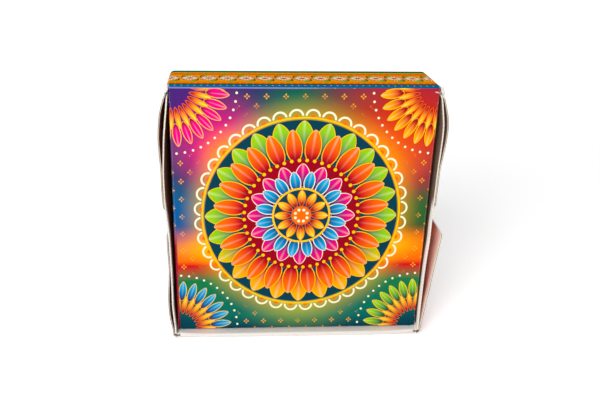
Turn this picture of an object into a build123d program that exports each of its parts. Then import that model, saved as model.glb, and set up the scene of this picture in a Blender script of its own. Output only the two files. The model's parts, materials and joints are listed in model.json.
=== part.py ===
"""Square sweet box with a hinged lid, folded from one die-cut sheet of thin printed board.

The box stands on its front wall, as it is shown: the lid faces -Y, the hinge wall is on top and
the base is at the back. X runs to the right and Z up. The origin is the middle of the front
wall's outer face. Each panel and flap between two scores is a piece of its own, the fixed ears
are held by dried paste, and the scores that work as hinges are thin crushed strips.
Everything is in millimetres.
"""
import os
from math import asin, degrees, sqrt

from build123d import *

# The box over all
BOX_WIDTH = 158.75             # over the corner ears, 6 1/4 in
BOX_LENGTH = 163.5             # from the front wall's outer face to the hinge wall's outer face
BOX_DEPTH = 44.45              # from the rims to the base panel's outer face, 1 3/4 in

# The board
BOARD = 0.9                    # thickness of the sheet
SCORE = 0.5                    # thickness where a working score has crushed it
FIT = 0.15                     # play between layers that lie on each other
SLIT = 0.1                     # play between a flap's edge and the score that it turns on
OVERRUN = 1.0                  # how far a cutter reaches past what it cuts

# Outer radii of the folds
BASE_FOLD = 1.5                # between the base panel and each wall
EAR_FOLD = 2.5                 # between a wall and its corner ears
RIM_FOLD = 1.2                 # the two folds of the rolled front rim
TAB_FOLD = 1.6                 # between a side wall and its end tab

# Front wall
RIM_WIDTH = 3.0                # thickness of the rolled front wall, over both layers
RIM_END_GAP = 2.5              # from the rolled rim's end to the side wall
TONGUE_DROP = 0.4              # how far the raw edge beside the rolled rim lies behind it

# Side walls, whose rims bow outwards. The shares run from the hinge end to the front end.
LEFT_BOW = 3.6
LEFT_BOW_SHARES = ((0, 0), (0.1, 0.4), (0.2, 0.78), (0.32, 1), (0.43, 0.92), (0.56, 0.54),
                   (0.7, 0.36), (0.88, 0.28), (1, 0))
RIGHT_BOW = 3.2
RIGHT_BOW_SHARES = ((0, 0), (0.05, 0.35), (0.1, 0.76), (0.145, 1), (0.23, 0.86), (0.31, 0.68),
                    (0.46, 0.56), (0.59, 0.46), (0.7, 0.18), (0.85, 0.03), (1, 0))
TAB_LENGTH = 26.0              # how far a side wall's end tab reaches under the lining
TAB_BACK = 3.0                 # from the tab's rear edge to the base fold
TAB_CORNER = 4.0               # clipped corners of the tab

# Corner ears. The shares run from the corner to the free end.
FRONT_EAR_LENGTH = 72.5
EARS_APART = 15.0              # bare stretch of side wall between its two ears
EAR_TAPER = 3.0                # how much narrower an ear is at its free end
HINGE_EAR_CLIP = 4.0           # clipped corner at the rim
FRONT_EAR_CLIP = 1.5
LEFT_EAR_GAP = 2.1             # widest gap between a hinge ear and its side wall
RIGHT_EAR_GAP = 1.4
FRONT_EAR_GAP = 1.3
EAR_GAP_SHARES = ((0, 0), (0.09, 0.42), (0.2, 1), (0.34, 0.96), (0.5, 0.55), (0.64, 0.1),
                  (0.72, 0), (1, 0))
LOOSE_EAR_ANGLE = 6.5          # degrees that the loose ear stands out at rest

# Dried paste between the ears and the side walls
PASTE = 0.3                    # room that it fills
PASTE_FILM = 0.1               # thickness of the film in the middle of that room
PASTE_LENGTH = 17.0
PASTE_MARGIN = 8.0             # from the ear's long edges
PASTE_END = 2.5                # from the ear's free end

# Lid
LID_SIDE_GAP = 0.6             # from the lid's side to the side wall
LID_END_GAP = 0.8              # from the lid's free end to the lining
LID_SINK = 4.5                 # how far the free end is pushed in behind the rims
LID_LAND = 1.2                 # flat stretch of the lid's score on each side of its bend
FLANGE_DEPTH = 15.0
FLANGE_END = 8.0               # from the flange's ends to the lid's ends
LEFT_FLANGE_FLARE = 3.0        # degrees that the left flange leans against its wall
TUCK_DEPTH = 28.0
TUCK_SIDE = 2.2                # how much narrower the tuck flap's fold is than the lid, each side
TUCK_CORNER = 9.0              # rounded corners at its free edge
TUCK_LEAN = 7.0                # degrees past square that it is folded in

# Planes and lines that the pieces share
RIM_Y = -BOX_DEPTH / 2
BASE_Y = BOX_DEPTH / 2
EAR_X = BOX_WIDTH / 2
SIDE_X = EAR_X - BOARD - PASTE                 # outer face of a side wall at the base
INNER_X = SIDE_X - BOARD
FOLD_Y = BASE_Y - BASE_FOLD                    # where a wall starts to turn into the base
EAR_FOLD_X = EAR_X - EAR_FOLD
FAR_FOLD_Z = BOX_LENGTH - EAR_FOLD
HINGE_EAR_LENGTH = BOX_LENGTH - FRONT_EAR_LENGTH - EARS_APART
RIM_END_X = INNER_X - RIM_END_GAP
TAB_Z = BOARD + FIT
WALL_LOW = TAB_Z + TAB_FOLD
WALL_HIGH = FAR_FOLD_Z + sqrt((EAR_FOLD - BOARD - FIT) ** 2 - (SIDE_X - EAR_FOLD_X) ** 2)
LID_X = INNER_X - LID_SIDE_GAP
LID_LOW = RIM_WIDTH + LID_END_GAP
HINGE_Y = RIM_Y + BOARD                        # the lid's hinge line
HINGE_Z = BOX_LENGTH - BOARD
FLANGE_X = LID_X - BOARD                       # the flanges' hinge lines
TUCK_Z = LID_LOW + BOARD                       # the tuck flap's hinge line
TUCK_X = LID_X - TUCK_SIDE
SINK_ANGLE = degrees(asin(LID_SINK / (HINGE_Z - LID_LOW)))
LID_HINGE = Axis((0, HINGE_Y, HINGE_Z), (1, 0, 0))
TUCK_HINGE = Axis((0, HINGE_Y, TUCK_Z), (1, 0, 0))
LOOSE_HINGE = Axis((EAR_FOLD_X, 0, EAR_FOLD), (0, 1, 0))

LEFT, RIGHT = -1, 1
BOW_POINTS = 25                # points that a bowed edge is drawn through
pieces = {}


def block(x, y, z):
    """Box between two places on each axis, in either order."""
    size = [abs(b - a) for a, b in (x, y, z)]
    return Pos(*((a + b) / 2 for a, b in (x, y, z))) * Box(*size)


def bend(middle, start, end, length, radius, thickness, angle=90):
    """Fold of a sheet round a line through middle, from the start direction towards the end one."""
    line = Vector(*start).cross(Vector(*end))
    plane = Plane(Vector(*middle) - line * (length / 2), x_dir=start, z_dir=line)
    outside = Solid.make_cylinder(radius, length, plane, angle)
    return outside - Solid.make_cylinder(radius - thickness, length, plane)


def value_along(table, share):
    """Value on a smooth curve through a table of (share, value) pairs."""
    share = min(max(share, 0), 1)
    last = len(table) - 1
    i = max(k for k in range(last) if table[k][0] <= share)

    def slope(k):
        if k in (0, last):
            return 0
        return (table[k + 1][1] - table[k - 1][1]) / (table[k + 1][0] - table[k - 1][0])

    (s0, v0), (s1, v1) = table[i], table[i + 1]
    t, h = (share - s0) / (s1 - s0), s1 - s0
    ease = 3 * t ** 2 - 2 * t ** 3
    return v0 + (v1 - v0) * ease + h * (slope(i) * (t ** 3 - 2 * t ** 2 + t)
                                        + slope(i + 1) * (t ** 3 - t ** 2))


def spread(start, end):
    """Evenly spaced places from start to end."""
    return [start + (end - start) * k / (BOW_POINTS - 1) for k in range(BOW_POINTS)]


def wall_bow(side, z):
    """How far a side wall's rim stands outside the straight line at height z."""
    share = (FAR_FOLD_Z - z) / (FAR_FOLD_Z - EAR_FOLD)
    if side == LEFT:
        return LEFT_BOW * value_along(LEFT_BOW_SHARES, share)
    return RIGHT_BOW * value_along(RIGHT_BOW_SHARES, share)


def bowed_sheet(side, straight_x, heights, bows, thickness):
    """Sheet whose rim follows a curve, and that is straight where it meets the base fold."""
    def section(y, offsets):
        outer = [Vector(side * (straight_x + o), y, z) for z, o in zip(heights, offsets)]
        inner = [p - Vector(side * thickness, 0, 0) for p in outer]
        edges = [Spline(*outer), Line(outer[-1], inner[-1]), Spline(*inner), Line(inner[0], outer[0])]
        return Wire(edges)

    straight = [0] * len(bows)
    return Solid.make_loft([section(RIM_Y, bows), section(FOLD_Y, straight)], ruled=True)


def cut_profile(shape, points):
    """Cuts away a prism along X, whose outline is given in Y and Z."""
    outline = make_face(Polyline(*[(0, y, z) for y, z in points], close=True))
    return shape - extrude(outline, BOX_WIDTH, both=True)


def make_base_panel():
    half = SIDE_X - BASE_FOLD
    pieces["base_panel"] = block((-half, half), (BASE_Y - BOARD, BASE_Y),
                                 (BASE_FOLD, BOX_LENGTH - BASE_FOLD))


def make_hinge_wall():
    flat = block((-EAR_FOLD_X, EAR_FOLD_X), (HINGE_Y + LID_LAND, FOLD_Y), (HINGE_Z, BOX_LENGTH))
    fold = bend((0, FOLD_Y, BOX_LENGTH - BASE_FOLD), (0, 0, 1), (0, 1, 0),
                2 * EAR_FOLD_X, BASE_FOLD, BOARD)
    pieces["hinge_wall"] = flat + fold


def make_front_wall():
    """Outer layer, rolled rim and lining of the wall that the box stands on."""
    wall = block((-EAR_FOLD_X, EAR_FOLD_X), (RIM_Y + RIM_FOLD, FOLD_Y), (0, BOARD))
    wall += bend((0, FOLD_Y, BASE_FOLD), (0, 0, -1), (0, 1, 0), 2 * EAR_FOLD_X, BASE_FOLD, BOARD)
    for side in (LEFT, RIGHT):
        wall += block((side * (RIM_END_X + FIT), side * EAR_FOLD_X),
                      (RIM_Y + TONGUE_DROP, RIM_Y + RIM_FOLD), (0, BOARD))
    pieces["front_wall"] = wall

    fold_y, top = RIM_Y + RIM_FOLD, RIM_WIDTH - RIM_FOLD
    rim = block((-RIM_END_X, RIM_END_X), (RIM_Y, RIM_Y + BOARD), (RIM_FOLD, top))
    rim += bend((0, fold_y, RIM_FOLD), (0, -1, 0), (0, 0, -1), 2 * RIM_END_X, RIM_FOLD, BOARD)
    rim += bend((0, fold_y, top), (0, -1, 0), (0, 0, 1), 2 * RIM_END_X, RIM_FOLD, BOARD)
    pieces["front_rim"] = rim
    pieces["front_lining"] = block((-RIM_END_X, RIM_END_X), (fold_y, BASE_Y - BOARD - FIT),
                                   (RIM_WIDTH - BOARD, RIM_WIDTH))


def make_side_wall(side, name):
    """Bowed wall with its base fold, and the end tab that is held under the lining."""
    heights = spread(WALL_HIGH, WALL_LOW)
    wall = bowed_sheet(side, SIDE_X, heights, [wall_bow(side, z) for z in heights], BOARD)
    low, high = BASE_FOLD + FIT, BOX_LENGTH - BASE_FOLD - FIT
    wall += bend((side * (SIDE_X - BASE_FOLD), FOLD_Y, (low + high) / 2), (side, 0, 0), (0, 1, 0),
                 high - low, BASE_FOLD, BOARD)
    pieces[name] = wall

    front, back = RIM_Y + RIM_FOLD + FIT, FOLD_Y - TAB_BACK
    fold_x, end_x = SIDE_X - TAB_FOLD, SIDE_X - TAB_LENGTH
    outline = make_face(Polyline((side * fold_x, front), (side * (end_x + TAB_CORNER), front),
                                 (side * end_x, front + TAB_CORNER), (side * end_x, back - TAB_CORNER),
                                 (side * (end_x + TAB_CORNER), back), (side * fold_x, back), close=True))
    tab = Pos(0, 0, TAB_Z) * extrude(outline, BOARD, dir=(0, 0, 1))
    tab += bend((side * fold_x, (front + back) / 2, WALL_LOW), (side, 0, 0), (0, 0, -1),
                back - front, TAB_FOLD, BOARD)
    pieces[name + "_tab"] = tab


def ear_edge(side, length, gap, from_top):
    """Heights along an ear, and how far its rim stands outside the box's straight side."""
    reaches = spread(EAR_FOLD, length)
    heights = [BOX_LENGTH - reach if from_top else reach for reach in reaches]
    gaps = [gap * value_along(EAR_GAP_SHARES, (reach - EAR_FOLD) / (length - EAR_FOLD))
            for reach in reaches]
    return heights, [wall_bow(side, z) + opening for z, opening in zip(heights, gaps)]


def trim_ear(ear, length, clip, from_top):
    """Tapers an ear's rear edge and clips its corner at the rim."""
    def height(reach):
        return BOX_LENGTH - reach if from_top else reach

    far = length + OVERRUN
    ear = cut_profile(ear, [(FOLD_Y, height(EAR_FOLD)), (FOLD_Y - EAR_TAPER, height(length)),
                            (FOLD_Y - EAR_TAPER, height(far)), (FOLD_Y + OVERRUN, height(far)),
                            (FOLD_Y + OVERRUN, height(EAR_FOLD))])
    return cut_profile(ear, [(RIM_Y, height(length - clip)), (RIM_Y + clip, height(length)),
                             (RIM_Y + clip, height(far)), (RIM_Y - OVERRUN, height(far)),
                             (RIM_Y - OVERRUN, height(length - clip))])


def make_fixed_ear(name, side, length, gap, clip, from_top):
    """Ear that turns round the corner and is pasted to the outside of the side wall."""
    heights, offsets = ear_edge(side, length, gap, from_top)
    ear = trim_ear(bowed_sheet(side, EAR_X, heights, offsets, BOARD), length, clip, from_top)
    up = 1 if from_top else -1
    fold_z = BOX_LENGTH - EAR_FOLD if from_top else EAR_FOLD
    ear += bend((side * EAR_FOLD_X, (RIM_Y + FOLD_Y) / 2, fold_z), (0, 0, up), (side, 0, 0),
                FOLD_Y - RIM_Y, EAR_FOLD, BOARD)
    pieces[name + "_ear"] = ear

    film_x = EAR_X - BOARD - (PASTE - PASTE_FILM) / 2
    film = bowed_sheet(side, film_x, heights, offsets, PASTE_FILM)
    far = length - PASTE_END
    ends = [BOX_LENGTH - r if from_top else r for r in (far - PASTE_LENGTH, far)]
    window = block((0, side * BOX_WIDTH), (RIM_Y + PASTE_MARGIN, FOLD_Y - PASTE_MARGIN), ends)
    pieces[name + "_paste"] = film & window


def make_loose_ear():
    """The front right ear, unstuck and sprung out, with the score that it turns on."""
    ear = block((EAR_X - BOARD, EAR_X), (RIM_Y, FOLD_Y), (EAR_FOLD + SLIT, FRONT_EAR_LENGTH))
    ear = trim_ear(ear, FRONT_EAR_LENGTH, FRONT_EAR_CLIP, False)
    pieces["front_right_ear"] = ear.rotate(LOOSE_HINGE, LOOSE_EAR_ANGLE)
    pieces["loose_ear_crease"] = bend((EAR_FOLD_X, (RIM_Y + FOLD_Y) / 2, EAR_FOLD), (0, 0, -1),
                                      (1, 0, 0), FOLD_Y - RIM_Y, EAR_FOLD, SCORE,
                                      90 - LOOSE_EAR_ANGLE)


def make_lid():
    """Lid panel and the score that joins it to the hinge wall."""
    half = FLANGE_X - SLIT
    panel = block((-half, half), (RIM_Y, HINGE_Y), (TUCK_Z + SLIT, HINGE_Z - LID_LAND))
    pieces["lid_panel"] = panel.rotate(LID_HINGE, SINK_ANGLE)

    crease = bend((0, HINGE_Y, HINGE_Z), (0, 0, 1), (0, -1, 0), 2 * half, BOARD, SCORE,
                  90 + SINK_ANGLE)
    crease += block((-half, half), (HINGE_Y, HINGE_Y + LID_LAND), (BOX_LENGTH - SCORE, BOX_LENGTH))
    land = block((-half, half), (RIM_Y, RIM_Y + SCORE), (HINGE_Z - LID_LAND, HINGE_Z))
    pieces["lid_crease"] = crease + land.rotate(LID_HINGE, SINK_ANGLE)


def make_flange(side, name, flare):
    """Side flap of the lid, mitred at both ends, with its score."""
    low, high = LID_LOW + FLANGE_END, HINGE_Z - FLANGE_END
    outline = [(HINGE_Y + SLIT, low), (HINGE_Y + FLANGE_DEPTH, low + FLANGE_DEPTH),
               (HINGE_Y + FLANGE_DEPTH, high - FLANGE_DEPTH), (HINGE_Y + SLIT, high)]
    face = make_face(Polyline(*[(side * FLANGE_X, y, z) for y, z in outline], close=True))
    flap = extrude(face, BOARD, dir=(side, 0, 0))
    flap = flap.rotate(Axis((side * FLANGE_X, HINGE_Y, 0), (0, 0, side)), -flare)
    crease = bend((side * FLANGE_X, HINGE_Y, (low + high) / 2), (0, -1, 0), (side, 0, 0),
                  high - low, BOARD, SCORE, 90 - flare)
    pieces[name] = flap.rotate(LID_HINGE, SINK_ANGLE)
    pieces[name + "_crease"] = crease.rotate(LID_HINGE, SINK_ANGLE)


def make_tuck_flap():
    """Flap on the lid's free end, with shoulders that clear the folded flanges, and its score."""
    narrow, shoulder = TUCK_X - FLANGE_DEPTH, HINGE_Y + FLANGE_DEPTH
    far = HINGE_Y + TUCK_DEPTH
    outline = make_face(Polyline((-TUCK_X, HINGE_Y + SLIT), (TUCK_X, HINGE_Y + SLIT),
                                 (narrow, shoulder), (narrow, far), (-narrow, far),
                                 (-narrow, shoulder), close=True))
    corners = outline.vertices().group_by(Axis.Y)[-1]
    flap = Pos(0, 0, LID_LOW) * extrude(fillet(corners, TUCK_CORNER), BOARD, dir=(0, 0, 1))
    crease = bend((0, HINGE_Y, TUCK_Z), (0, -1, 0), (0, 0, -1), 2 * TUCK_X, BOARD, SCORE,
                  90 + TUCK_LEAN)
    pieces["tuck_flap"] = flap.rotate(TUCK_HINGE, TUCK_LEAN).rotate(LID_HINGE, SINK_ANGLE)
    pieces["tuck_crease"] = crease.rotate(LID_HINGE, SINK_ANGLE)


make_base_panel()
make_hinge_wall()
make_front_wall()
make_side_wall(LEFT, "left_wall")
make_side_wall(RIGHT, "right_wall")
make_fixed_ear("hinge_left", LEFT, HINGE_EAR_LENGTH, LEFT_EAR_GAP, HINGE_EAR_CLIP, True)
make_fixed_ear("hinge_right", RIGHT, HINGE_EAR_LENGTH, RIGHT_EAR_GAP, HINGE_EAR_CLIP, True)
make_fixed_ear("front_left", LEFT, FRONT_EAR_LENGTH, FRONT_EAR_GAP, FRONT_EAR_CLIP, False)
make_loose_ear()
make_lid()
make_flange(LEFT, "left_flange", LEFT_FLANGE_FLARE)
make_flange(RIGHT, "right_flange", 0)
make_tuck_flap()

os.makedirs("parts", exist_ok=True)
for name, piece in pieces.items():
    export_step(piece, f"parts/{name}.step")
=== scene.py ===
"""Looks of the folded sweet box: printed micro-flute board, its raw edges, creases and wear."""
import json
from itertools import groupby
from math import atan2, cos, pi, radians, sin, tau

import bmesh
import bpy
import numpy as np
from bpy.props import FloatProperty, FloatVectorProperty, PointerProperty
from mathutils import Matrix, Vector, noise


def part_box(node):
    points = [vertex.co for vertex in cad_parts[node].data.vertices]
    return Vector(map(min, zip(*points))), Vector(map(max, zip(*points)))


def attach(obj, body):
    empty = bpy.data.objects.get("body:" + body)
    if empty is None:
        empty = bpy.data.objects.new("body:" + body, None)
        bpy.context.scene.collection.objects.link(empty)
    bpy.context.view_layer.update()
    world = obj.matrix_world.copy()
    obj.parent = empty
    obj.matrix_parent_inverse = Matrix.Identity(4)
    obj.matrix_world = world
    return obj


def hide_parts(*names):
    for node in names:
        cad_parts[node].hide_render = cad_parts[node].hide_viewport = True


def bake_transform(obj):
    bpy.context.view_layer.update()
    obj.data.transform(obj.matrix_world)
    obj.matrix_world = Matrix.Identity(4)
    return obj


bl_info = {
    "name": "Folded Sweet Box",
    "version": (1, 0, 0),
    "blender": (4, 5, 0),
    "location": "View3D > Sidebar > Sweet Box",
    "description": "Makes the panels, flaps, creases and print of a folded sweet box",
    "category": "Object",
}

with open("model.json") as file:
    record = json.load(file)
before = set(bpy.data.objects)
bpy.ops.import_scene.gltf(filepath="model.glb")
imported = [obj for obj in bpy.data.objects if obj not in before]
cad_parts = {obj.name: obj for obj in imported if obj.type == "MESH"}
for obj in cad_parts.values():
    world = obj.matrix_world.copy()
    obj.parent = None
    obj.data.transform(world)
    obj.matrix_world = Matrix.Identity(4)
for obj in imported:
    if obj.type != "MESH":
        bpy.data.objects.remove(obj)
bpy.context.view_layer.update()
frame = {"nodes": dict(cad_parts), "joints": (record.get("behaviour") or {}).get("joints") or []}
MM = 0.001

# Planes of the box, from the frame
joints = {joint["name"]: joint for joint in frame["joints"]}
HINGE = Vector(joints["lid_fold"]["pos_m"])
TUCK = Vector(joints["tuck_fold"]["pos_m"])
FLANGE_X = joints["right_flange_fold"]["pos_m"][0]
LOOSE = Vector(joints["loose_ear_fold"]["pos_m"])
BASE_LOW, BASE_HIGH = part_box("base_panel")
RIM_Y, BASE_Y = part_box("left_wall")[0].y, BASE_HIGH.y
BOARD = BASE_Y - BASE_LOW.y
TOP_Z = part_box("hinge_wall")[1].z
CORNER_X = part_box("hinge_wall")[1].x            # ends of the hinge wall and the front wall
BASE_FOLD = BASE_LOW.z                          # outer radius of the base folds
FOLD_Y = BASE_Y - BASE_FOLD
SIDE_X = BASE_HIGH.x + BASE_FOLD                # outer face of a side wall at the base
EAR_FOLD = LOOSE.z
EAR_X = LOOSE.x + EAR_FOLD
WALL_DEPTH = FOLD_Y - RIM_Y
WALL_ARC = WALL_DEPTH + pi / 2 * BASE_FOLD      # depth of a wall with its fold to the base
EAR_CORNER = pi / 2 * EAR_FOLD                  # length of an ear's bend round the corner
RIM_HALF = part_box("front_rim")[1].x
RIM_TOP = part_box("front_rim")[1].z
RIM_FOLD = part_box("front_rim")[1].y - RIM_Y
LINING_Y = RIM_Y + RIM_FOLD
HINGE_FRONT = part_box("hinge_wall")[0].y         # where the hinge wall meets the lid's score
LAND = HINGE_FRONT - HINGE.y                    # flat part of the hinge crease on each side
SCORE = 0.5 * MM                                # board crushed by the scoring rule
PASTE_FILM = 0.1 * MM
TORN_PAPER = 0.16 * MM
NEXT_ROW = 0.02 * MM                            # where the width of a sheet steps
PRINT_PITCH = 11.0 * MM                         # repeat of the small flowers and the marigolds
SINK = atan2(-joints["right_flange_fold"]["axis"][1], joints["right_flange_fold"]["axis"][2])
HINGE_ARC = (pi / 2 + SINK) * BOARD
ON_LID = (Matrix.Translation(HINGE) @ Matrix.Rotation(SINK, 4, "X")
          @ Matrix.Translation(-HINGE))
TUCK_SQUARE = ON_LID.inverted() @ TUCK          # the tuck flap's hinge with the lid drawn square
LID_LENGTH = HINGE.z - TUCK_SQUARE.z


def smooth(value, low, high):
    """0 below low, 1 above high, and an even ease between."""
    share = min(max((value - low) / (high - low), 0.0), 1.0)
    return share * share * (3 - 2 * share)


def rim_profile(node):
    """Heights along a bowed node's rim and its outer face's distance from the middle plane."""
    reach = {}
    for co in (v.co for v in frame["nodes"][node].data.vertices if v.co.y < RIM_Y + 0.02 * MM):
        key = round(co.z / MM, 2)
        reach[key] = max(reach.get(key, 0), abs(co.x))
    heights = sorted(reach)
    outer = [reach[key] for key in heights]
    kept = [k for k in range(len(heights)) if outer[k] > max(outer[max(k - 1, 0):k + 2]) - 0.5 * MM]
    return [heights[k] * MM for k in kept], [outer[k] for k in kept]


def main_normal(node, side):
    """Normal of a flat node's largest face towards one side."""
    faces = [p for p in frame["nodes"][node].data.polygons if p.normal.x * side > 0.5]
    return max(faces, key=lambda p: p.area).normal


class Socket:
    """One output of a material's nodes, on which maths is written as Python."""

    def __init__(self, recipe, output):
        self.recipe, self.output = recipe, output

    def __add__(self, other):
        return self.recipe.math("ADD", self, other)

    def __sub__(self, other):
        return self.recipe.math("SUBTRACT", self, other)

    def __rsub__(self, other):
        return self.recipe.math("SUBTRACT", other, self)

    def __mul__(self, other):
        return self.recipe.math("MULTIPLY", self, other)

    def __truediv__(self, other):
        return self.recipe.math("DIVIDE", self, other)

    def __rtruediv__(self, other):
        return self.recipe.math("DIVIDE", other, self)

    def __abs__(self):
        return self.recipe.math("ABSOLUTE", self)

    __radd__, __rmul__ = __add__, __mul__


class Recipe:
    """The nodes of a material or of the surroundings, and the colour laid so far."""

    def __init__(self, owner, shader="Principled BSDF"):
        owner.use_nodes = True
        self.owner, self.tree, self.tone = owner, owner.node_tree, None
        self.shader = self.tree.nodes[shader]
        self.board, self.inks = bpy.context.scene.sweet_board, bpy.context.scene.sweet_print

    def node(self, kind, settings=None, sockets=None, output=0):
        """Adds a node, makes its settings, feeds its sockets, and gives one of its outputs."""
        node = self.tree.nodes.new(kind)
        for key, setting in (settings or {}).items():
            if key == "stops":
                while len(node.color_ramp.elements) < len(setting):
                    node.color_ramp.elements.new(1.0)
                for element, (place, colour) in zip(node.color_ramp.elements, setting):
                    element.position = place
                    element.color = (*colour, 1.0)
            else:
                setattr(node, key, setting)
        for key, source in (sockets or {}).items():
            self.feed(node.inputs[key], source)
        return Socket(self, node.outputs[output])

    def feed(self, socket, source):
        if isinstance(source, Socket):
            self.tree.links.new(source.output, socket)
        elif socket.type == "RGBA" and len(source) == 3:
            socket.default_value = (*source, 1.0)
        else:
            socket.default_value = source

    def finish(self, **sockets):
        """Feeds the shader's sockets, named with underscores for spaces, and gives the material."""
        if self.tone is not None:
            sockets["Base_Color"] = self.tone
        for key, source in sockets.items():
            self.feed(self.shader.inputs[key.replace("_", " ")], source)
        return self.owner

    def blend(self, under, over, mask):
        """One colour laid over another where mask is 1."""
        return self.node("ShaderNodeMix", {"data_type": "RGBA", "clamp_factor": True},
                         {0: mask, 6: under, 7: over}, output=2)

    def cover(self, over, mask):
        """Lays a colour over the tone where mask is 1."""
        self.tone = self.blend(self.tone, over, mask)

    def lay(self, over, value, low, high, start=0.0, end=1.0):
        """Lays a colour over the tone, by a share that eases from start at low to end at high."""
        self.cover(over, self.step(value, low, high, start, end))

    def step(self, value, low, high, start=0.0, end=1.0):
        """Eases from start at low to end at high."""
        return self.node("ShaderNodeMapRange", {"interpolation_type": "SMOOTHSTEP"},
                         {"Value": value, "From Min": low, "From Max": high, "To Min": start,
                          "To Max": end})

    def math(self, operation, *values):
        return self.node("ShaderNodeMath", {"operation": operation}, dict(enumerate(values)))

    def length(self, x, y):
        return self.math("SQRT", x * x + y * y)

    def cell(self, place):
        """Place across a repeat of length 1, from -1 to 1."""
        return self.math("FRACT", place) * 2.0 - 1.0

    def attribute(self, name):
        return self.node("ShaderNodeAttribute", {"attribute_name": name}, output="Fac")

    def seen(self):
        """1 for what the camera sees, also in a gloss or through glass, and 0 for other light."""
        camera, gloss, glass = (self.node("ShaderNodeLightPath", output=kind) for kind in (
            "Is Camera Ray", "Is Glossy Ray", "Is Transmission Ray"))
        return self.math("MAXIMUM", self.math("MAXIMUM", camera, gloss), glass)

    def noise(self, scale, detail=3.0, roughness=0.6):
        return self.node("ShaderNodeTexNoise", {}, {"Scale": scale, "Detail": detail,
                                                    "Roughness": roughness})

    def bump(self, height, strength, distance):
        return self.node("ShaderNodeBump", {}, {"Height": height, "Strength": strength,
                                                "Distance": distance})

    def fluted(self, fine, strength, distance):
        """Soft washboard of the flutes under a liner, with the paper's own grain."""
        flutes = self.math("SINE", self.sheet_place()[0] * (tau / self.board.flute))
        return self.bump(flutes * 0.3 + fine, strength, distance)

    def sheet_place(self):
        """Across and along places on the flat sheet, in metres."""
        uv = self.node("ShaderNodeUVMap", {"uv_map": "Sheet"})
        split = self.node("ShaderNodeSeparateXYZ", {}, {0: uv})
        return split, Socket(self, split.output.node.outputs[1])


def ink(name, description, *colour):
    """A colour setting."""
    return FloatVectorProperty(name=name, description=description, default=colour,
                               subtype="COLOR", size=3, min=0, max=1)


def amount(name, description, default, unit="LENGTH"):
    """A size or power setting."""
    return FloatProperty(name=name, description=description, default=default, unit=unit)


class BoardSettings(bpy.types.PropertyGroup):
    """Sizes and bare colours of the board."""
    flute: amount("Flute pitch", "Distance between two flutes", 2.4 * MM)
    liner: amount("Liner", "Thickness of each outer layer of the board", 0.22 * MM)
    medium: amount("Fluted layer", "Thickness of the fluted paper", 0.16 * MM)
    opening: amount("Flute opening", "Depth to which cut flutes are open", 0.4 * MM)
    rounding: amount("Edge rounding", "Rounding of a cut edge", 0.12 * MM)
    lid_bow: amount("Lid bow", "How far the middle of the lid's free edge bends in", 1.5 * MM)
    corner_lift: amount("Corner lift", "How far the front wall's corners curl up", 1.1 * MM)
    corner_crush: amount("Corner crush", "How far the rim's far corners are crushed in", 0.8 * MM)
    inside: ink("Inside", "Unprinted brown face of the board", 0.18, 0.12, 0.085)
    coat: ink("White coat", "Unprinted coated face of the rim", 0.83, 0.79, 0.75)
    edge: ink("Cut edge", "Cut edge of a liner", 0.92, 0.80, 0.66)
    kraft: ink("Fluted paper", "Fluted layer between the liners", 0.60, 0.46, 0.32)
    # The torn white also paints a highlight along the side walls' rims on their inner faces.
    torn: ink("Torn paper", "White paper laid bare at torn corners", 0.86, 0.84, 0.79)
    fleck: ink("Fleck", "Fibres in the unprinted face", 0.14, 0.095, 0.06)
    paste: ink("Paste", "Dried paste under the ears", 0.75, 0.70, 0.58)


class PrintSettings(bpy.types.PropertyGroup):
    """Inks of the print and the paper that shows where it is worn."""
    purple: ink("Purple", "Field at the lid's upper left", 0.07, 0.008, 0.18)
    pink: ink("Pink", "Petals and the glow at the upper left", 0.82, 0.0, 0.20)
    azure: ink("Azure", "Line along the hinge crease", 0.0, 0.20, 0.34)
    ember: ink("Ember", "Far part of the hinge wall", 0.95, 0.07, 0.0)
    blue: ink("Blue", "Left side, and the hinge wall's near edge", 0.0, 0.10, 0.32)
    sky: ink("Sky blue", "Tips of the blue petals", 0.0, 0.38, 0.70)
    night: ink("Night blue", "Darkest field, and the edge of the lid", 0.0, 0.045, 0.075)
    teal: ink("Teal", "Lower field", 0.0, 0.14, 0.11)
    green: ink("Green", "Lower middle and the hinge wall's far edge", 0.005, 0.19, 0.06)
    leaf: ink("Leaf green", "Upper middle", 0.02, 0.12, 0.03)
    lime: ink("Lime", "Tips of the green petals", 0.30, 0.60, 0.0)
    crimson: ink("Crimson", "Ground of the walls", 0.32, 0.0, 0.012)
    red: ink("Red", "Field at the lid's upper right", 0.64, 0.0, 0.008)
    orange: ink("Orange", "Warm middle band and petals", 0.96, 0.15, 0.0)
    gold: ink("Gold", "Ground and marigolds of the hinge wall", 1.0, 0.42, 0.0)
    yellow: ink("Yellow", "Petal tips, lines and beads", 1.0, 0.56, 0.0)
    umber: ink("Umber", "Shade between the warm and the green fields", 0.10, 0.03, 0.01)
    cream: ink("Cream", "Fine lines and small beads", 1.0, 0.90, 0.62)
    shadow: ink("Shadow", "Shade at the root of petals", 0.02, 0.0, 0.015)
    worn: ink("Worn print", "Cracked ink at the folds, over blue and purple", 0.26, 0.23, 0.55)
    # Blush is worn print at the lid's folds. On the loose ear's inner face, blush, the pulled print and
    # the low and deep fibres paint a red reflection of the wall's print. The low fibres are also a
    # darker painted shade near the ear's fold.
    blush: ink("Worn red print", "Cracked ink at the folds, over red", 0.95, 0.62, 0.54)
    pulled: ink("Pulled print", "Red paper fibres that the paste has pulled off", 1.0, 0.66, 0.50)
    shaded_red_bounce: ink("Low fibres", "The same fibres near the ear's fold", 0.62, 0.12, 0.08)
    fibre: ink("Deep fibres", "The same fibres deep in the gap", 1.0, 0.42, 0.28)


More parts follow.
